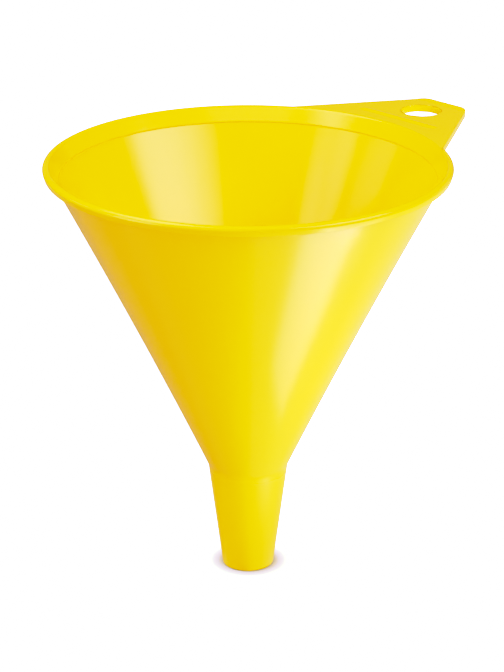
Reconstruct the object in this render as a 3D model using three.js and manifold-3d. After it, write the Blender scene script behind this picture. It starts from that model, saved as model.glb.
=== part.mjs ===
// A plastic utility funnel, injection-moulded in one shot: a conical bowl with a turned-down rim,
// a tapered spout and a flat hang tab with a round hole, braced by one low rib across its root.
// Millimetres, +Z up. The tip of the spout stands on Z = 0 and the tab points along +X.
// The regions of the moulding are separate solids that meet on shared faces.

import * as THREE from 'three';
import * as BufferGeometryUtils from 'three/addons/utils/BufferGeometryUtils.js';
import Module from 'manifold-3d';

const wasm = await Module();
wasm.setup();

// ---- Driving dimensions -------------------------------------------------------------------
const height = 220; // spout tip to the rim's crest
const rimRadius = 101.5; // outside of the turned-down lip, at its widest
const spoutLength = 57; // tip to the foot of the bowl
const tipRadius = 13.3; // outside of the spout's tip
const shoulderRadius = 20.6; // outside, where the spout meets the bowl
const wall = 2; // wall thickness, measured level
const tipWall = 1.6; // wall thickness at the spout's tip
const wallBow = 1.1; // how far the bowl's wall hollows in from a straight cone
const collarHeight = 8; // flared band at the top of the bowl
const collarRadius = 95.6; // outside of the wall at the foot of that band
const lipDrop = 5; // crest to the lip's lower edge
const lipWall = 1.3;
const lipDraft = 0.8; // how much the lip narrows towards its lower edge
const lipEdge = 0.3; // bevel of that edge
const collarDrop = 2.2; // crest to the top of the collar
const collarInset = 2.6; // rim's radius to the collar's outside, at its top
const collarWall = 1.7; // thickness there
const collarStraight = 0.9; // upright stretch on the inside, at the collar's foot
const grooveDrop = 1.8; // crest to the top of the groove between the lip and the wall
const grooveInset = 2.3; // rim's radius to that groove's inner side
const grooveWidth = 0.5; // across its top
const lipFaceDrop = 2.4; // crest to the lip's widest line
const plateThickness = 3.6; // hang tab
const tabReach = 147.5; // funnel axis to the tab's straight end
const tabEdgeDistance = 89.8; // funnel axis to each side line of the tab, square to the line
const tabEdgeAngle = THREE.MathUtils.degToRad(58.3); // that square's angle from the tab's middle line
const tabCornerRadius = 8;
const holeRadius = 10.3;
const holeCentre = 127.5; // funnel axis to the hang hole's axis
const ribCentre = 109.5; // funnel axis to the middle of the rib across the tab
const ribLength = 54;
const ribWidth = 6.5;
const ribHeight = 0.5;
const seam = 0.3; // clearance between the tab and the rim
const ribSeam = 0.03; // and between the rib and the tab
const tipRound = 0.4; // bevel of the spout's tip

// ---- Derived values -----------------------------------------------------------------------
const bowlBase = spoutLength;
const collarBase = height - collarHeight;
const axisX = -(tabReach - rimRadius) / 2; // puts the middle of the whole object at X = 0
const facets = 72; // around the funnel
const wallSteps = 6; // up the bowl
const holeFacets = 32;
const ribSteps = 4; // to each half of the rib's section
const tabSteps = 12; // to each curve of the tab's outline
const drillLength = plateThickness * 3; // long enough to pass through the plate

const yellow = { color: 0xf2d400, roughness: 0.3, metalness: 0 };

function namedMesh(name, geometry) {
  const mesh = new THREE.Mesh(geometry, new THREE.MeshStandardMaterial(yellow));
  mesh.name = name;
  return mesh;
}

// Turns a closed outline of [radius, z] points about the funnel's axis.
function turned(outline) {
  const points = outline.map(([radius, z]) => new THREE.Vector2(radius, z));
  points.push(points[0].clone());
  const lathe = new THREE.LatheGeometry(points, facets);
  lathe.rotateX(Math.PI / 2); // the lathe turns about Y
  return lathe;
}

// Outside radius of the bowl's wall at a height between its foot and the collar.
function bowlRadius(z) {
  const t = (z - bowlBase) / (collarBase - bowlBase);
  const straight = THREE.MathUtils.lerp(shoulderRadius, collarRadius, t);
  return straight - 4 * wallBow * t * (1 - t);
}

// ---- Bowl ---------------------------------------------------------------------------------
function makeBowl() {
  const outside = [];
  for (let step = 0; step <= wallSteps; step += 1) {
    const z = THREE.MathUtils.lerp(bowlBase, collarBase, step / wallSteps);
    outside.push([bowlRadius(z), z]);
  }
  const inside = outside.map(([radius, z]) => [radius - wall, z]).reverse();
  return namedMesh('bowl', turned([...outside, ...inside]));
}

// ---- Collar and lip -----------------------------------------------------------------------
// The collar flares a little more than the bowl, above a short upright stretch on the inside,
// and ends where the lip's crest turns over.
const collarTop = height - collarDrop;
const collarTopOutside = rimRadius - collarInset;
const collarTopInside = collarTopOutside - collarWall;

// Section of the crest, from the lip's face over to the collar, as [inset from the rim's
// radius, drop from the crest].
const crestSection = [
  [0, lipFaceDrop],
  [0, 1.4],
  [0.5, 0.5],
  [1.5, 0],
  [2.6, 0],
  [3.2, 0.3],
  [3.6, 1],
];

function makeCollar() {
  return namedMesh('rim_collar', turned([
    [collarRadius, collarBase],
    [collarTopOutside, collarTop],
    [collarTopInside, collarTop],
    [collarRadius - wall, collarBase + collarStraight],
    [collarRadius - wall, collarBase],
  ]));
}

function makeLip() {
  const lipFoot = height - lipDrop;
  const footRadius = rimRadius - lipDraft;
  const grooveRadius = rimRadius - grooveInset;
  const grooveTop = height - grooveDrop;
  // The groove's outer side is the inside of the lip, which runs down to the foot.
  const grooveOutside = grooveRadius + grooveWidth;
  const lipInside = grooveOutside + lipEdge * 2 / 3;
  return namedMesh('rim_lip', turned([
    [collarTopInside, collarTop],
    [collarTopOutside, collarTop],
    [grooveRadius, grooveTop],
    [grooveOutside, grooveTop],
    [lipInside, height - lipFaceDrop],
    [footRadius - lipWall, lipFoot],
    [footRadius - lipEdge * 2 / 3, lipFoot],
    [footRadius, lipFoot + lipEdge],
    ...crestSection.map(([inset, drop]) => [rimRadius - inset, height - drop]),
  ]));
}

// ---- Spout --------------------------------------------------------------------------------
function makeSpout() {
  return namedMesh('spout', turned([
    [tipRadius - tipRound, 0],
    [tipRadius, tipRound],
    [shoulderRadius, bowlBase],
    [shoulderRadius - wall, bowlBase],
    [tipRadius - tipWall, 0],
  ]));
}

// ---- Hang tab -----------------------------------------------------------------------------
// Half width of the tab at a distance from the funnel's axis.
function tabHalfWidth(reach) {
  return (tabEdgeDistance - reach * Math.cos(tabEdgeAngle)) / Math.sin(tabEdgeAngle);
}

function makeTab() {
  const root = rimRadius + seam;
  // Where a side line crosses the root circle, as an angle from the tab's middle line.
  const rootAngle = tabEdgeAngle - Math.acos(tabEdgeDistance / root);
  // Each corner's round is tangent to its side line and to the straight end.
  const cornerReach = tabReach - tabCornerRadius;
  const cornerHalf = (tabEdgeDistance - tabCornerRadius - cornerReach * Math.cos(tabEdgeAngle))
    / Math.sin(tabEdgeAngle);
  const outline = new THREE.Shape();
  outline.moveTo(root * Math.cos(rootAngle), -root * Math.sin(rootAngle));
  outline.absarc(cornerReach, -cornerHalf, tabCornerRadius, -tabEdgeAngle, 0, false);
  outline.absarc(cornerReach, cornerHalf, tabCornerRadius, 0, tabEdgeAngle, false);
  outline.absarc(0, 0, root, rootAngle, -rootAngle, true);
  const plate = new THREE.ExtrudeGeometry(outline, {
    depth: plateThickness,
    bevelEnabled: false,
    curveSegments: tabSteps,
  });
  const drill = new THREE.CylinderGeometry(holeRadius, holeRadius, drillLength, holeFacets);
  drill.rotateX(Math.PI / 2);
  drill.translate(holeCentre, 0, plateThickness / 2);
  const drilled = geometryOf(solidOf(plate).subtract(solidOf(drill)));
  drilled.translate(0, 0, height - plateThickness);
  return namedMesh('hang_tab', drilled);
}

function makeRib() {
  const section = new THREE.Shape();
  section.moveTo(-ribWidth / 2, ribSeam);
  section.quadraticCurveTo(-ribWidth / 3, ribHeight, 0, ribHeight);
  section.quadraticCurveTo(ribWidth / 3, ribHeight, ribWidth / 2, ribSeam);
  const rib = new THREE.ExtrudeGeometry(section, {
    depth: ribLength,
    bevelEnabled: false,
    curveSegments: ribSteps,
  });
  rib.translate(0, 0, -ribLength / 2);
  rib.rotateX(Math.PI / 2); // the section's height turns to +Z and its length to Y
  rib.translate(ribCentre, 0, height);
  return namedMesh('tab_rib', rib);
}

// ---- Boolean helpers ----------------------------------------------------------------------
function solidOf(geometry) {
  const bare = geometry.clone();
  bare.deleteAttribute('normal');
  bare.deleteAttribute('uv');
  const merged = BufferGeometryUtils.mergeVertices(bare);
  return new wasm.Manifold(new wasm.Mesh({
    numProp: 3,
    vertProperties: new Float32Array(merged.attributes.position.array),
    triVerts: new Uint32Array(merged.index.array),
  }));
}

function geometryOf(solid) {
  const mesh = solid.getMesh();
  const geometry = new THREE.BufferGeometry();
  geometry.setAttribute('position', new THREE.BufferAttribute(mesh.vertProperties, 3));
  geometry.setIndex(new THREE.BufferAttribute(mesh.triVerts, 1));
  geometry.computeVertexNormals();
  return geometry;
}

// ---- Assembly -----------------------------------------------------------------------------
const funnel = new THREE.Group();
funnel.add(makeBowl(), makeCollar(), makeLip(), makeSpout(), makeTab(), makeRib());
funnel.position.x = axisX;

export default funnel;
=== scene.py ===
"""Looks of a yellow plastic utility funnel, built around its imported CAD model.

Metres, +Z up, the spout's tip on Z = 0 and the hang tab along +X. The real funnel is one moulding,
so its pieces here are finely divided regions that meet edge to edge and share one plastic.
"""

import math

import bpy
from mathutils import Matrix, Vector, geometry


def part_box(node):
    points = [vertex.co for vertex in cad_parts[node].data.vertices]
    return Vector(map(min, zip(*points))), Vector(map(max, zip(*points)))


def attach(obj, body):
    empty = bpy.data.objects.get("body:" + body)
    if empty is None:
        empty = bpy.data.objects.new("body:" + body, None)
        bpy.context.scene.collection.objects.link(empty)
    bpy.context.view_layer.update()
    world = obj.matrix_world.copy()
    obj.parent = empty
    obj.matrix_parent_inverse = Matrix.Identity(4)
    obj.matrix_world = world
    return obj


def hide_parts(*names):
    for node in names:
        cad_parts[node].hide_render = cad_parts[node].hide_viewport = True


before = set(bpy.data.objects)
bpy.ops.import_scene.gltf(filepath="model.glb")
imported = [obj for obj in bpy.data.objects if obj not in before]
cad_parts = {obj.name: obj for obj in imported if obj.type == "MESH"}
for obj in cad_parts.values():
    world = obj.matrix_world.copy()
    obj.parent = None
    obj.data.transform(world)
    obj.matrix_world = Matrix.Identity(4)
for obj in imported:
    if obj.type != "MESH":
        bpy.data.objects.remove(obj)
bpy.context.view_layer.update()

# ---- Driving dimensions --------------------------------------------------------------------
# What the CAD model fixes is read from it. The rest is detail too fine for it.
MM = 0.001
_, spout_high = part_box("spout")
_, bowl_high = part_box("bowl")
lip_low, lip_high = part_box("rim_lip")
tab_low, tab_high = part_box("hang_tab")
rib_low, rib_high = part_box("tab_rib")

axis_x = (lip_low.x + lip_high.x) / 2  # the funnel's axis is upright at this X and Y = 0
crest = lip_high.z
rim_radius = lip_high.y
lip_foot = lip_low.z
spout_top = spout_high.z
shoulder_radius = spout_high.y
bowl_top = bowl_high.z
bowl_top_radius = bowl_high.y
tab_end = tab_high.x - axis_x

WALL = 2.0 * MM
TIP_RADIUS = 13.3 * MM
TIP_WALL = 1.6 * MM
TIP_ROUND = 0.45 * MM
WALL_BOW = 1.1 * MM  # how far the bowl's wall hollows in from a straight cone
SHOULDER_ROUND = 9.0 * MM  # radius of the bend where the spout meets the bowl
WALL_START = spout_top + 3.0 * MM  # where the bowl's own line begins, clear of that bend
WALL_STEPS = 40  # points up that line

SHOULDER_SEAM = spout_top + 1.5 * MM  # where the spout's piece ends
COLLAR_SEAM = bowl_top - 1.0 * MM  # where the bowl's piece ends
LIP_SEAM = crest - 2.6 * MM  # where the collar's piece ends

CREST_RADIUS = rim_radius - 2.1 * MM  # where the rim is highest
OUTER_ROLL = 2.1 * MM  # radius of the crest's roll towards the lip
INNER_ROLL = 1.5 * MM  # and towards the bowl
BAND_CORNER = CREST_RADIUS - 0.9 * MM  # where the flared band would meet the crest's plane
STRAIGHT_HEIGHT = 0.9 * MM  # upright stretch at the foot of the flared band inside the rim
STRAIGHT_ROUND = 0.35 * MM
LIP_DRAFT = 0.8 * MM  # the lip narrows towards its foot
LIP_WALL = 1.3 * MM
LIP_ROUND = 0.5 * MM
LIP_CORNER = rim_radius + 0.75 * MM  # where the lip's face would meet the crest's plane
GROOVE_TOP = crest - 1.9 * MM  # top of the groove between the lip and the bowl
GROOVE_WIDTH = 1.1 * MM
GROOVE_ROUND = 0.3 * MM
GROOVE_LEAN = 0.1 * MM  # how far its inner side leans out
GROOVE_SIDE = 0.5 * MM  # over this height
GROOVE_START = GROOVE_TOP - 0.4 * MM  # where the round begins

TAB_EDGE_DISTANCE = 89.8 * MM  # funnel axis to each side line of the tab, square to the line
TAB_EDGE_ANGLE = math.radians(58.3)  # that square's angle from the tab's middle line
TAB_CORNER = 8.0 * MM
TAB_EDGE_ROUND = 0.35 * MM
HOLE_RADIUS = 10.3 * MM
HOLE_CENTRE = 127.5 * MM  # funnel axis to the hang hole's axis
BEAD_HEIGHT = 0.35 * MM  # low bead along the tab's straight end
BEAD_WIDTH = 6.0 * MM
RIB_SINK = 0.04 * MM  # how far the rib's edges lie in the plate
RIB_DEPTH = 0.16 * MM  # crest down to the rib's underside
RIB_FADE = 0.12  # share of each half of the rib that dies away

AROUND = 288  # divisions around the funnel
UP_STEP = 2.0 * MM  # longest division up a wall
BEND_STEP = math.radians(3)  # widest angle between divisions of a bend
RIM_STEP = 0.8 * MM  # longest division over the rim
TAB_STEP = 1.0 * MM  # and around the tab
TAB_CORNER_STEPS = 12
TAB_ROOT_STEPS = 60
HOLE_STEPS = 96
EDGE_STEPS = 5  # over a rounded edge of the tab
EDGE_SUPPORT = 1.6  # width of the strip beside such an edge, in rounds
TAB_GRID = 1.2 * MM  # between points on the tab's flat faces
TAB_MARGIN = 0.6 * TAB_GRID  # least distance from those to the outline
MERGE_DISTANCE = 1e-9
RIB_ALONG = 60  # divisions of the rib
RIB_ACROSS = 16
SHARP_ANGLE = math.radians(32)


# ---- Profiles ------------------------------------------------------------------------------
# A profile is a list of (radius, height) points. Lines are rounded where they bend.
def arc(centre, radius, start, end, steps):
    angles = (start + (end - start) * step / steps for step in range(steps + 1))
    return [Vector((centre[0] + radius * math.cos(a), centre[1] + radius * math.sin(a))) for a in angles]


def rounded(corners):
    """The line through (radius, height, round) corners, with each bend an arc of its own round."""
    line = []
    for i, (radius, height, bend) in enumerate(corners):
        here = Vector((radius, height))
        if bend == 0:
            line.append(here)
            continue
        back = (Vector(corners[i - 1][:2]) - here).normalized()
        ahead = (Vector(corners[i + 1][:2]) - here).normalized()
        turn = math.pi - back.angle(ahead)
        start = here + back * (bend * math.tan(turn / 2))
        end = here + ahead * (bend * math.tan(turn / 2))
        centre = here + (back + ahead).normalized() * (bend / math.cos(turn / 2))
        first = math.atan2(start.y - centre.y, start.x - centre.x)
        last = math.atan2(end.y - centre.y, end.x - centre.x)
        swing = (last - first + math.pi) % (2 * math.pi) - math.pi
        line.extend(arc(centre, bend, first, first + swing, max(2, math.ceil(turn / BEND_STEP))))
    return line


def divided(line, longest=UP_STEP):
    """The same line with its long stretches divided."""
    fine = [line[0]]
    for a, b in zip(line, line[1:]):
        steps = max(1, math.ceil((b - a).length / longest))
        fine.extend(a.lerp(b, step / steps) for step in range(1, steps + 1))
    return fine


def between(line, low, high):
    """The part of a rising line between two heights, with a point on each."""
    kept = []
    for a, b in zip(line, line[1:]):
        for cut in (low, high):
            if a.y < cut < b.y:
                kept.append(a.lerp(b, (cut - a.y) / (b.y - a.y)))
        if low <= b.y <= high:
            kept.append(b)
    if low <= line[0].y <= high:
        kept.insert(0, line[0])
    kept.sort(key=lambda point: point.y)
    return kept


def bowl_radius(height):
    """Outside radius of the bowl's wall."""
    t = (height - spout_top) / (bowl_top - spout_top)
    straight = shoulder_radius + (bowl_top_radius - shoulder_radius) * t
    return straight - 4 * WALL_BOW * t * (1 - t)


def bowl_corners(inset, high):
    rise = high - WALL_START
    heights = (WALL_START + rise * step / WALL_STEPS for step in range(WALL_STEPS + 1))
    return [(bowl_radius(height) - inset, height, 0) for height in heights]


def outside_line():
    """Outside of the spout and bowl, from the tip up into the groove behind the lip."""
    return divided(rounded([
        (TIP_RADIUS, TIP_ROUND, 0),
        (shoulder_radius, spout_top, SHOULDER_ROUND),
        *bowl_corners(0, GROOVE_TOP),
    ]))


def inside_line():
    """Inside of the spout and bowl, from the tip up to the foot of the flared band."""
    return divided(rounded([
        (TIP_RADIUS - TIP_WALL, TIP_ROUND, 0),
        (shoulder_radius - WALL, spout_top, SHOULDER_ROUND),
        *bowl_corners(WALL, bowl_top),
    ]))


outside = outside_line()
inside = inside_line()


def mesh_piece(name, vertices, faces):
    mesh = bpy.data.meshes.new(name)
    mesh.from_pydata(vertices, [], faces)
    mesh.validate()
    mesh.shade_smooth()
    mesh.set_sharp_from_angle(angle=SHARP_ANGLE)
    piece = bpy.data.objects.new(name, mesh)
    bpy.context.scene.collection.objects.link(piece)
    return piece


def turned(name, outline):
    """A ring turned from a closed outline that runs anticlockwise, with +radius to its right."""
    count = len(outline)
    vertices = []
    for turn in range(AROUND):
        angle = 2 * math.pi * turn / AROUND
        for radius, height in outline:
            vertices.append((axis_x + radius * math.cos(angle), radius * math.sin(angle), height))
    faces = []
    for turn in range(AROUND):
        here = turn * count
        ahead = (turn + 1) % AROUND * count
        for i in range(count):
            after = (i + 1) % count
            faces.append((here + i, ahead + i, ahead + after, here + after))
    return mesh_piece(name, vertices, faces)


# ---- Spout, bowl and rim -------------------------------------------------------------------
def make_spout():
    above_round = TIP_ROUND * 2
    foot = rounded([
        (TIP_RADIUS - TIP_WALL, above_round, 0),
        (TIP_RADIUS - TIP_WALL, 0, TIP_ROUND),
        (TIP_RADIUS, 0, TIP_ROUND),
        (TIP_RADIUS, above_round, 0),
    ])[1:-1]
    wall_foot = TIP_ROUND * 1.5
    up = between(outside, wall_foot, SHOULDER_SEAM)
    down = between(inside, wall_foot, SHOULDER_SEAM)[::-1]
    return turned("spout_skin", foot + up + down)


def make_bowl():
    up = between(outside, SHOULDER_SEAM, COLLAR_SEAM)
    down = between(inside, SHOULDER_SEAM, COLLAR_SEAM)[::-1]
    return turned("bowl_skin", up + down)


def rim_inside():
    """Inside of the rim, from the bowl's wall over an upright stretch and the flared band to the crest."""
    foot = bowl_radius(bowl_top) - WALL
    return [
        (foot, bowl_top, STRAIGHT_ROUND),
        (foot, bowl_top + STRAIGHT_HEIGHT, STRAIGHT_ROUND),
        (BAND_CORNER, crest, INNER_ROLL),
    ]


def lip_line():
    """The lip from the groove's inner side, out and down to its foot, then up and over to the crest."""
    groove_radius = bowl_radius(GROOVE_TOP)
    groove_inside = groove_radius + GROOVE_LEAN
    lip_radius = rim_radius - LIP_DRAFT
    line = rounded([
        (groove_radius, GROOVE_TOP - GROOVE_SIDE, 0),
        (groove_inside, GROOVE_TOP, GROOVE_ROUND),
        (groove_inside + GROOVE_WIDTH, GROOVE_TOP, GROOVE_ROUND),
        (lip_radius - LIP_WALL, lip_foot, LIP_ROUND),
        (lip_radius, lip_foot, LIP_ROUND),
        (LIP_CORNER, crest, OUTER_ROLL),
        (CREST_RADIUS, crest, 0),
    ])
    return divided(line[1:-1], RIM_STEP)


def make_rim():
    """Collar and lip as two rings cut from one outline, so that they meet edge to edge."""
    wall_at_seam = (bowl_radius(COLLAR_SEAM) - WALL, COLLAR_SEAM, 0)
    inner = divided(rounded([wall_at_seam, *rim_inside(), (CREST_RADIUS, crest, 0)]), RIM_STEP)
    collar_outer = between(outside, COLLAR_SEAM, LIP_SEAM)
    collar_inner = between(inner, COLLAR_SEAM, LIP_SEAM)
    groove_inner = between(outside, LIP_SEAM, GROOVE_START)
    lip_inner = between(inner, LIP_SEAM, crest)
    collar = turned("rim_collar_skin", collar_outer + collar_inner[::-1])
    lip = turned("rim_lip_skin", groove_inner + lip_line() + lip_inner[::-1][1:])
    return collar, lip


# ---- Hang tab ------------------------------------------------------------------------------
def inset_ring(ring, inset):
    """A closed anticlockwise ring of plan points, moved towards its inside."""
    moved = []
    for i, point in enumerate(ring):
        along = (ring[(i + 1) % len(ring)] - ring[i - 1]).normalized()
        moved.append(point + Vector((-along.y, along.x)) * inset)
    return moved


def tab_outline():
    """Plan of the tab, anticlockwise, around the funnel's axis. Its root lies under the rim's crest."""
    root = CREST_RADIUS - TAB_EDGE_ROUND
    root_angle = TAB_EDGE_ANGLE - math.acos(TAB_EDGE_DISTANCE / root)
    corner_reach = tab_end - TAB_CORNER
    side = TAB_EDGE_DISTANCE - TAB_CORNER - corner_reach * math.cos(TAB_EDGE_ANGLE)
    corner_half = side / math.sin(TAB_EDGE_ANGLE)
    line = [
        *arc((corner_reach, -corner_half), TAB_CORNER, -TAB_EDGE_ANGLE, 0, TAB_CORNER_STEPS),
        *arc((corner_reach, corner_half), TAB_CORNER, 0, TAB_EDGE_ANGLE, TAB_CORNER_STEPS),
        *arc((0, 0), root, root_angle, -root_angle, TAB_ROOT_STEPS),
    ]
    return divided([*line, line[0]], TAB_STEP)[:-1]


def edge_rings(ring, thickness, inwards):
    """Rings of (plan points, depth) over a rounded edge, down the side and under, from top to bottom."""
    bend = TAB_EDGE_ROUND
    steps = [(bend * EDGE_SUPPORT, 0)]
    for step in range(EDGE_STEPS + 1):
        angle = math.pi / 2 * step / EDGE_STEPS
        steps.append((bend * (1 - math.sin(angle)), bend * (1 - math.cos(angle))))
    steps += [(inset, thickness - depth) for inset, depth in reversed(steps)]
    return [(inset_ring(ring, inset * inwards), depth) for inset, depth in steps]


def smooth_step(share):
    share = min(1.0, max(0.0, share))
    return share * share * (3 - 2 * share)


def bead(reach):
    """Height of the low bead across the tab's end, at a distance from the funnel's axis."""
    return BEAD_HEIGHT * (1 - smooth_step((tab_end - reach) / BEAD_WIDTH))


def inside_ring(point, ring, margin):
    """Whether a plan point lies inside a closed ring, at least margin from its corners."""
    inside_it = False
    for a, b in zip(ring, [*ring[1:], ring[0]]):
        if (point - a).length < margin:
            return False
        if (a.y > point.y) != (b.y > point.y):
            crossing = a.x + (b.x - a.x) * (point.y - a.y) / (b.y - a.y)
            if point.x < crossing:
                inside_it = not inside_it
    return inside_it


def filling_points(outline):
    """An even grid of plan points between the tab's outline and its hole."""
    half_span = max(point.y for point in outline)
    near = min(point.x for point in outline)
    far = max(point.x for point in outline)
    points = []
    for row in range(int(2 * half_span / TAB_GRID) + 1):
        y = -half_span + row * TAB_GRID
        for column in range(int((far - near) / TAB_GRID) + 1):
            point = Vector((near + (column + row % 2 / 2) * TAB_GRID, y))
            from_hole = (point - Vector((HOLE_CENTRE, 0))).length
            if from_hole >= HOLE_RADIUS + TAB_GRID and inside_ring(point, outline, TAB_MARGIN):
                points.append(point)
    return points


def flat_face(outline, hole):
    """Plan points, triangles and sources of the flat face between the outline and the hole.
    A point's source is its number in the outline and hole taken together, or past their end."""
    points = [*outline, *hole, *filling_points(outline)]
    around = len(outline)
    edges = [(i, (i + 1) % around) for i in range(around)]
    edges += [(around + i, around + (i + 1) % len(hole)) for i in range(len(hole))]
    plan, _, triangles, origins = geometry.delaunay_2d_cdt(points, edges, [], 1, MERGE_DISTANCE)[:4]
    kept = []
    for triangle in triangles:
        middle = sum((plan[i] for i in triangle), Vector((0, 0))) / len(triangle)
        if (middle - Vector((HOLE_CENTRE, 0))).length >= HOLE_RADIUS:
            kept.append(triangle)
    sources = [origin[0] if origin else len(points) for origin in origins]
    return plan, kept, sources


def add_rings(vertices, faces, rings, flip):
    """Adds the bands between rings, and returns the first vertex of the top and the bottom one."""
    starts = []
    for ring, depth in rings:
        starts.append(len(vertices))
        vertices.extend((point.x, point.y, crest - depth) for point in ring)
    count = len(rings[0][0])
    for here, below in zip(starts, starts[1:]):
        for i in range(count):
            after = (i + 1) % count
            face = (here + i, below + i, below + after, here + after)
            faces.append(face[::-1] if flip else face)
    return starts[0], starts[-1]


def add_flat(vertices, faces, flat, height, borders, upwards):
    """Adds a flat face at a height. Its edges use the border vertices that are there already."""
    plan, triangles, sources = flat
    placed = []
    for point, source in zip(plan, sources):
        if source < len(borders):
            placed.append(borders[source])
        else:
            placed.append(len(vertices))
            vertices.append((point.x, point.y, height))
    for triangle in triangles:
        corners = [placed[i] for i in triangle]
        faces.append(corners if upwards else corners[::-1])


def make_tab():
    thickness = tab_high.z - tab_low.z
    hole = arc((HOLE_CENTRE, 0), HOLE_RADIUS, 0, 2 * math.pi, HOLE_STEPS)[:-1]
    outer = edge_rings(tab_outline(), thickness, 1)
    inner = edge_rings(hole, thickness, -1)
    outline = outer[0][0]
    vertices = []
    faces = []
    outer_starts = add_rings(vertices, faces, outer, False)
    inner_starts = add_rings(vertices, faces, inner, True)
    flat = flat_face(outline, inner[0][0])
    for height, upwards, outer_start, inner_start in zip(
            (crest, crest - thickness), (True, False), outer_starts, inner_starts):
        borders = [outer_start + i for i in range(len(outline))]
        borders += [inner_start + i for i in range(len(hole))]
        add_flat(vertices, faces, flat, height, borders, upwards)
    raised = []
    for x, y, z in vertices:
        lift = bead(x) if z > crest - thickness / 2 else 0
        raised.append((x + axis_x, y, z + lift))
    return mesh_piece("hang_tab_skin", raised, faces)


def rib_height(along, across):
    """Height above the rib's edges, with both places from -1 to 1 over its length and width."""
    end = math.cos(math.pi / 2 * max(0.0, (abs(along) - (1 - RIB_FADE)) / RIB_FADE)) ** 2
    full = rib_high.z - crest + RIB_SINK
    return full * math.cos(math.pi / 2 * across) ** 2 * end


def make_rib():
    """A low rounded rib across the tab, dying away at its ends."""
    middle = (rib_low.x + rib_high.x) / 2
    half_width = (rib_high.x - rib_low.x) / 2
    half_length = (rib_high.y - rib_low.y) / 2
    vertices = []
    for i in range(RIB_ALONG + 1):
        u = -1 + 2 * i / RIB_ALONG
        for j in range(RIB_ACROSS + 1):
            v = -1 + 2 * j / RIB_ACROSS
            height = crest - RIB_SINK + rib_height(u, v)
            vertices.append((middle + v * half_width, u * half_length, height))
    base = len(vertices)
    vertices += [(x, y, crest - RIB_DEPTH) for x, y, _ in vertices]
    columns = RIB_ACROSS + 1
    faces = []
    for i in range(RIB_ALONG):
        for j in range(RIB_ACROSS):
            a = i * columns + j
            quad = (a, a + columns, a + columns + 1, a + 1)
            faces.append(quad[::-1])
            faces.append(tuple(base + k for k in quad))
    border = list(range(columns))
    border += [i * columns + RIB_ACROSS for i in range(1, RIB_ALONG + 1)]
    border += [RIB_ALONG * columns + j for j in range(RIB_ACROSS - 1, -1, -1)]
    border += [i * columns for i in range(RIB_ALONG - 1, 0, -1)]
    for a, b in zip(border, [*border[1:], border[0]]):
        faces.append((a, base + a, base + b, b))
    return mesh_piece("tab_rib_skin", vertices, faces)


# ---- Material ------------------------------------------------------------------------------
# Glossy injection-moulded plastic. The pattern runs in the funnel's own coordinates, so it goes
# on unbroken from piece to piece.
PLASTIC_COLOR = (0.88, 0.665, 0.0, 1)
PLASTIC_PALE = (0.90, 0.69, 0.0, 1)  # where the pigment lies a little thinner
PLASTIC_ROUGHNESS = 0.2
CLOUD_SCALE = 14.0  # soft clouds of pigment, per metre
FLOW_AROUND = 26.0  # flow lines, which run up the wall from the gate at the spout
FLOW_UP = 2.5
FLOW_SHARE = 0.35  # part of the change in colour that the flow lines make; the clouds make the rest
GRAIN_SCALE = 2600.0  # fine texture of the mould
GRAIN_HEIGHT = 0.004 * MM
WAVE_SCALE = 55.0  # slight waviness of the cooled wall
WAVE_HEIGHT = 0.008 * MM
FLOW_HEIGHT = 0.002 * MM
SCUFF_SCALE = 120.0  # faint rubbed patches
SCUFF_ROUGHNESS = 0.035
SPOUT_ROUGHNESS = 0.16  # how much duller the spout is, which rubs in necks and filler holes
SPOUT_FADE = 8.0 * MM  # height over which that begins

# Sockets of a Mix node that mixes colours
MIX_SHARE = 0
MIX_FIRST = 6
MIX_SECOND = 7
MIX_RESULT = 2


def mixed_colour(material, share, first, second):
    """A colour that goes from first to second as the share goes from 0 to 1."""
    node = material.node_tree.nodes.new("ShaderNodeMix")
    node.data_type = "RGBA"
    material.node_tree.links.new(share, node.inputs[MIX_SHARE])
    node.inputs[MIX_FIRST].default_value = first
    node.inputs[MIX_SECOND].default_value = second
    return node.outputs[MIX_RESULT]


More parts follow.
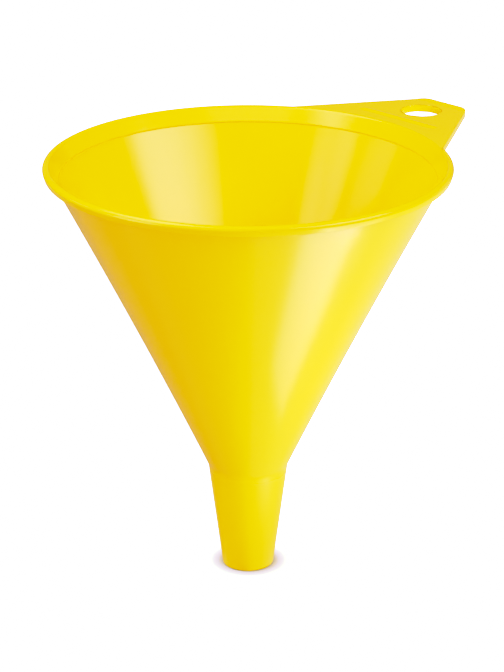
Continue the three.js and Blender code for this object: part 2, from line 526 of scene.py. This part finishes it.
def plastic():
    material = bpy.data.materials.new("yellow_polyethylene")
    material.use_nodes = True
    nodes = material.node_tree.nodes
    links = material.node_tree.links
    shader = nodes["Principled BSDF"]
    place = nodes.new("ShaderNodeTexCoord").outputs["Object"]

    def noise(vector, scale, detail):
        node = nodes.new("ShaderNodeTexNoise")
        node.inputs["Scale"].default_value = scale
        node.inputs["Detail"].default_value = detail
        links.new(vector, node.inputs["Vector"])
        return node.outputs["Fac"]

    def math_node(operation, *values):
        node = nodes.new("ShaderNodeMath")
        node.operation = operation
        for socket, value in zip(node.inputs, values):
            if isinstance(value, (int, float)):
                socket.default_value = value
            else:
                links.new(value, socket)
        return node.outputs["Value"]

    # Flow lines need the turn around the axis, as a point on a circle, and the height.
    split = nodes.new("ShaderNodeSeparateXYZ")
    links.new(place, split.inputs["Vector"])
    from_axis = math_node("SUBTRACT", split.outputs["X"], axis_x)
    turn = math_node("ARCTAN2", split.outputs["Y"], from_axis)
    circle = nodes.new("ShaderNodeCombineXYZ")
    links.new(math_node("COSINE", turn), circle.inputs["X"])
    links.new(math_node("SINE", turn), circle.inputs["Y"])
    links.new(math_node("MULTIPLY", split.outputs["Z"], FLOW_UP / FLOW_AROUND), circle.inputs["Z"])
    flow = noise(circle.outputs["Vector"], FLOW_AROUND, detail=2.0)

    # Colour
    clouds = noise(place, CLOUD_SCALE, detail=3.0)
    streaks = math_node("MULTIPLY", flow, FLOW_SHARE)
    share = math_node("MULTIPLY_ADD", clouds, 1 - FLOW_SHARE, streaks)
    colour = mixed_colour(material, share, PLASTIC_COLOR, PLASTIC_PALE)
    links.new(colour, shader.inputs["Base Color"])

    # Sheen of the surface, a little duller where it has been rubbed
    scuffs = noise(place, SCUFF_SCALE, detail=5.0)
    centred = math_node("SUBTRACT", scuffs, 0.5)
    rough = math_node("MULTIPLY_ADD", centred, 2 * SCUFF_ROUGHNESS, PLASTIC_ROUGHNESS)
    worn = nodes.new("ShaderNodeMapRange")
    links.new(split.outputs["Z"], worn.inputs["Value"])
    worn.inputs["From Min"].default_value = spout_top
    worn.inputs["From Max"].default_value = spout_top - SPOUT_FADE
    worn.inputs["To Max"].default_value = SPOUT_ROUGHNESS
    links.new(math_node("ADD", rough, worn.outputs["Result"]), shader.inputs["Roughness"])

    # Relief
    relief = None
    waves = noise(place, WAVE_SCALE, detail=1.0)
    grain = noise(place, GRAIN_SCALE, detail=2.0)
    for height, depth in ((waves, WAVE_HEIGHT), (flow, FLOW_HEIGHT), (grain, GRAIN_HEIGHT)):
        bump = nodes.new("ShaderNodeBump")
        bump.inputs["Distance"].default_value = depth
        links.new(height, bump.inputs["Height"])
        if relief:
            links.new(relief, bump.inputs["Normal"])
        relief = bump.outputs["Normal"]
    links.new(relief, shader.inputs["Normal"])
    return material


# ---- Assembly ------------------------------------------------------------------------------
collar, lip = make_rim()
pieces = {
    "spout": make_spout(),
    "bowl": make_bowl(),
    "rim_collar": collar,
    "rim_lip": lip,
    "hang_tab": make_tab(),
    "tab_rib": make_rib(),
}
yellow = plastic()
for node, piece in pieces.items():
    piece.data.materials.append(yellow)
    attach(piece, "root")
    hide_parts(node)


# ---- Floor ---------------------------------------------------------------------------------
# A pale sheet, lit from below like a light table, so the view of it is white but for a painted
# shadow under the tip, where its colour darkens and its glow fades. The funnel itself gets a much dimmer
# grey from it.
FLOOR_HALF = 3.0
FLOOR_GREY = (0.2, 0.2, 0.2, 1)
FLOOR_SEEN = (0.97, 0.97, 0.97, 1)
# Colour of the painted shadow on the floor, close to the tip
FLOOR_PAINTED_SHADOW = (0.42, 0.56, 0.54, 1)  # close to the tip
FLOOR_GLOW = 1.4
# Width of the painted shadow, over which the colour and the glow come back to full
FLOOR_PAINTED_SHADOW_WIDTH = 13.0 * MM  # from the tip out to the full glow


def tip_distance(material):
    """How far a point of the floor is from the tip, from 0 at its bore to 1 past the painted shadow."""
    nodes = material.node_tree.nodes
    links = material.node_tree.links
    distance = nodes.new("ShaderNodeVectorMath")
    distance.operation = "DISTANCE"
    links.new(nodes.new("ShaderNodeTexCoord").outputs["Object"], distance.inputs[0])
    distance.inputs[1].default_value = (axis_x, 0, 0)
    share = nodes.new("ShaderNodeMapRange")
    share.interpolation_type = "SMOOTHSTEP"
    links.new(distance.outputs["Value"], share.inputs["Value"])
    share.inputs["From Min"].default_value = TIP_RADIUS - TIP_WALL
    share.inputs["From Max"].default_value = TIP_RADIUS + FLOOR_PAINTED_SHADOW_WIDTH
    return share.outputs["Result"]


def lit_sheet(material):
    """The floor as the camera sees it: white and glowing, with a painted shadow close to the tip, where it
    is darker and glows less.
    """
    nodes = material.node_tree.nodes
    links = material.node_tree.links
    # Painted shadow: near the tip the colour is mixed towards the shadow colour and the glow is turned
    # down
    share = tip_distance(material)
    white = nodes.new("ShaderNodeBsdfDiffuse")
    links.new(mixed_colour(material, share, FLOOR_PAINTED_SHADOW, FLOOR_SEEN), white.inputs["Color"])
    level = nodes.new("ShaderNodeMath")
    level.operation = "MULTIPLY"
    links.new(share, level.inputs[0])
    level.inputs[1].default_value = FLOOR_GLOW
    glow = nodes.new("ShaderNodeEmission")
    links.new(level.outputs["Value"], glow.inputs["Strength"])
    sheet = nodes.new("ShaderNodeAddShader")
    links.new(white.outputs["BSDF"], sheet.inputs[0])
    links.new(glow.outputs["Emission"], sheet.inputs[1])
    return sheet.outputs["Shader"]


def pale_floor():
    material = bpy.data.materials.new("pale_floor")
    material.use_nodes = True
    nodes = material.node_tree.nodes
    links = material.node_tree.links
    nodes.clear()
    grey = nodes.new("ShaderNodeBsdfDiffuse")
    grey.inputs["Color"].default_value = FLOOR_GREY
    choice = nodes.new("ShaderNodeMixShader")
    links.new(nodes.new("ShaderNodeLightPath").outputs["Is Camera Ray"], choice.inputs["Fac"])
    links.new(grey.outputs["BSDF"], choice.inputs[1])
    links.new(lit_sheet(material), choice.inputs[2])
    output = nodes.new("ShaderNodeOutputMaterial")
    links.new(choice.outputs["Shader"], output.inputs["Surface"])
    return material


def make_floor():
    half = FLOOR_HALF
    corners = [(-half, -half, 0), (half, -half, 0), (half, half, 0), (-half, half, 0)]
    floor = mesh_piece("floor", corners, [(0, 1, 2, 3)])
    floor.data.materials.append(pale_floor())


make_floor()

# ---- Camera --------------------------------------------------------------------------------
HEADING = math.radians(44.16)  # the view turns this far from +Y towards +X
PITCH = math.radians(21.594)  # and this far down
CAMERA_DISTANCE = 11 * rim_radius  # level distance from the funnel's axis
CAMERA_RISE = 3.4378 * rim_radius  # above the crest
SENSOR = 36.0
LENS = 126.6
SHIFT = 0.0059  # the funnel stands a little left of the middle

forward = Vector((math.sin(HEADING), math.cos(HEADING), 0))
rightward = Vector((math.cos(HEADING), -math.sin(HEADING), 0))
centre = Vector((axis_x, 0, 0))


def make_camera():
    data = bpy.data.cameras.new("camera")
    data.sensor_width = SENSOR
    data.lens = LENS
    data.shift_x = SHIFT
    camera = bpy.data.objects.new("camera", data)
    camera.location = centre - forward * CAMERA_DISTANCE + Vector((0, 0, crest + CAMERA_RISE))
    camera.rotation_euler = (math.pi / 2 - PITCH, 0, -HEADING)
    bpy.context.scene.collection.objects.link(camera)
    bpy.context.scene.camera = camera


make_camera()


# ---- Light ---------------------------------------------------------------------------------
# Each strength is a radiance: how bright the light itself looks.
def area_light(name, width, height, radiance):
    """A rectangular light. Its power follows from its radiance, whatever its size."""
    data = bpy.data.lights.new(name, "AREA")
    data.shape = "RECTANGLE"
    data.size = width
    data.size_y = height
    data.energy = radiance * math.pi * width * height
    light = bpy.data.objects.new(name, data)
    bpy.context.scene.collection.objects.link(light)
    return light


def softbox(name, turn, rise, distance, width, height, radiance):
    """A light turn degrees right of the camera and rise degrees up, facing the rim."""
    light = area_light(name, width, height, radiance)
    turn = math.radians(turn)
    rise = math.radians(rise)
    level = -forward * math.cos(turn) + rightward * math.sin(turn)
    offset = level * math.cos(rise) + Vector((0, 0, math.sin(rise)))
    light.location = centre + Vector((0, 0, crest)) + offset * distance
    light.rotation_euler = (-offset).to_track_quat("-Z", "Y").to_euler()


def light_table(name, middle, along, length, width, radiance, lift):
    """A light lying face up on the floor, its length pointing along a level direction. It lights
    the funnel's walls from below and is hidden from the camera, which sees only the floor."""
    light = area_light(name, length, width, radiance)
    light.location = centre + middle + Vector((0, 0, lift))
    down = Vector((0, 0, -1))
    light.rotation_euler = Matrix((along, down.cross(along), down)).transposed().to_euler()
    light.visible_camera = False


# A wide key box on the right, made of strips side by side, dimmer towards the camera
BOX_DISTANCE = 1.6
KEY_FROM = 24  # turns of its two ends
KEY_TO = 83
KEY_STRIPS = 6
KEY_RISE = 29
KEY_HEIGHT = 0.62
KEY_RADIANCE = 6.0
KEY_EDGE_RADIANCE = 1.5  # at the end nearer to the camera
KEY_FADE = 0.5  # share of the box over which it dims to that


def make_key():
    step = (KEY_TO - KEY_FROM) / KEY_STRIPS
    width = 2 * BOX_DISTANCE * math.tan(math.radians(step) / 2)
    for strip in range(KEY_STRIPS):
        share = (strip + 0.5) / KEY_STRIPS
        gain = min(1.0, share / KEY_FADE)
        radiance = KEY_EDGE_RADIANCE + (KEY_RADIANCE - KEY_EDGE_RADIANCE) * gain
        turn = KEY_FROM + step * (strip + 0.5)
        softbox(f"key_{strip}", turn, KEY_RISE, BOX_DISTANCE, width, KEY_HEIGHT, radiance)


make_key()

# A fill box on the left, in strips, with a dimmer middle
FILL_TURN = -63
FILL_STEP = 10
FILL_RISE = 29.5
FILL_WIDTH = 0.28
FILL_HEIGHT = 0.3
FILL_RADIANCE = 3.0
FILL_MIDDLE_RADIANCE = 1.6
for side in (-1, 0, 1):
    radiance = FILL_RADIANCE if side else FILL_MIDDLE_RADIANCE
    turn = FILL_TURN + side * FILL_STEP
    softbox(f"fill_{side}", turn, FILL_RISE, BOX_DISTANCE, FILL_WIDTH, FILL_HEIGHT, radiance)

# Large panels: bright ones on the left, soft ones beside and over the camera, faint ones on the
# right. Each is given by its turn, rise, width, height and radiance.
PANEL_DISTANCE = 1.8
BRIGHT = 5.0
SOFT = 1.2
FAINT = 0.3
PANELS = {
    "top_left": (-90, 60, 1.4, 0.9, BRIGHT),
    "low_left": (-62, 2, 0.9, 0.6, BRIGHT),
    "left": (-98, 15, 0.8, 0.8, SOFT),
    "top_front": (0, 62, 1.4, 0.9, SOFT),
    "right": (95, 15, 1.2, 0.8, FAINT),
    "right_back": (120, 5, 1.4, 0.9, FAINT),
}
for name, (turn, rise, width, height, radiance) in PANELS.items():
    softbox(name, turn, rise, PANEL_DISTANCE, width, height, radiance)

# Four large dim tables on the floor, brighter to the right and towards the camera
TABLE_SIZE = 0.9
TABLE_LIFT = 0.5 * MM
TABLE_RADIANCE = 0.45
TABLE_RIGHT_GAIN = 0.2
TABLE_NEAR_GAIN = 0.1
for right in (-1, 1):
    for ahead in (-1, 1):
        middle = (rightward * right + forward * ahead) * TABLE_SIZE / 2
        radiance = TABLE_RADIANCE + TABLE_RIGHT_GAIN * right - TABLE_NEAR_GAIN * ahead
        light_table(f"table_{right}_{ahead}", middle, rightward, TABLE_SIZE, TABLE_SIZE,
                    radiance, TABLE_LIFT)

# A bright wedge to the right of the tip, which widens away from it, in strips. The long
# highlight down the bowl is its reflection, and the brightest strips give the top of it.
WEDGE_START = rightward * 0.010 - forward * 0.045
WEDGE_TURN = math.radians(-23)
WEDGE_FIRST = 0.050
WEDGE_STEP = 0.018
WEDGE_WIDTH = 0.012  # at its start
WEDGE_SPREAD = 0.7  # width gained per length
WEDGE_LIFT = 1 * MM
WEDGE_TIP_RADIANCE = 2.5  # closest to the tip
WEDGE_GAIN = 0.5  # from strip to strip
WEDGE_RADIANCE = 4.5  # up to this
WEDGE_STRIPS = 7
WEDGE_TOP_RADIANCE = 11.0
WEDGE_TOP_STRIPS = 3
WEDGE_END_RADIANCE = 2.0
WEDGE_END_STRIPS = 4


def make_wedge():
    rising = (WEDGE_TIP_RADIANCE + WEDGE_GAIN * strip for strip in range(WEDGE_STRIPS))
    radiances = [min(WEDGE_RADIANCE, radiance) for radiance in rising]
    radiances += [WEDGE_TOP_RADIANCE] * WEDGE_TOP_STRIPS
    radiances += [WEDGE_END_RADIANCE] * WEDGE_END_STRIPS
    along = rightward * math.cos(WEDGE_TURN) + forward * math.sin(WEDGE_TURN)
    for strip, radiance in enumerate(radiances):
        reach = WEDGE_FIRST + (strip + 0.5) * WEDGE_STEP
        width = WEDGE_WIDTH + WEDGE_SPREAD * reach
        light_table(f"wedge_{strip}", WEDGE_START + along * reach, along, WEDGE_STEP, width,
                    radiance, WEDGE_LIFT)


make_wedge()

# Light from all round, dim on the funnel and white behind it
WORLD_STRENGTH = 0.25
WORLD_SEEN = 1.5
world = bpy.data.worlds.new("studio")
world.use_nodes = True
backdrop = world.node_tree.nodes["Background"]
backdrop.inputs["Color"].default_value = (1, 1, 1, 1)
seen_directly = world.node_tree.nodes.new("ShaderNodeLightPath").outputs["Is Camera Ray"]
strength = world.node_tree.nodes.new("ShaderNodeMapRange")
strength.inputs["To Min"].default_value = WORLD_STRENGTH
strength.inputs["To Max"].default_value = WORLD_SEEN
world.node_tree.links.new(seen_directly, strength.inputs["Value"])
world.node_tree.links.new(strength.outputs["Result"], backdrop.inputs["Strength"])
bpy.context.scene.world = world

# ---- Colour response -----------------------------------------------------------------------
# Strong yellows are held back, as a photograph does: red and green roll off before white, and
# blue starts a little above black. Each curve is (scene light, picture light) points.
RESPONSE_REACH = 2.0  # strongest scene light that the curves cover
RESPONSE = [  # red, green and blue
    [(0.0, 0.0), (0.6, 0.79), (0.75, 0.825), (0.95, 0.885), (1.25, 0.941), (1.4, 1.0)],
    [(0.0, 0.0), (0.5, 0.5), (0.7, 0.69), (0.9, 0.775), (1.2, 0.88), (1.4, 1.0)],
    [(0.0, 0.0), (0.045, 0.0), (0.35, 0.305), (0.65, 0.79), (0.9, 0.88), (1.4, 1.0)],
]
view = bpy.context.scene.view_settings
view.view_transform = "Standard"
view.use_curve_mapping = True
mapping = view.curve_mapping
mapping.clip_max_x = RESPONSE_REACH
mapping.extend = "HORIZONTAL"
for curve, points in zip(mapping.curves, RESPONSE):
    curve.points[-1].location = points[-1]
    for x, y in points[1:-1]:
        curve.points.new(x, y)
    for point in curve.points:
        point.handle_type = "VECTOR"
mapping.update()
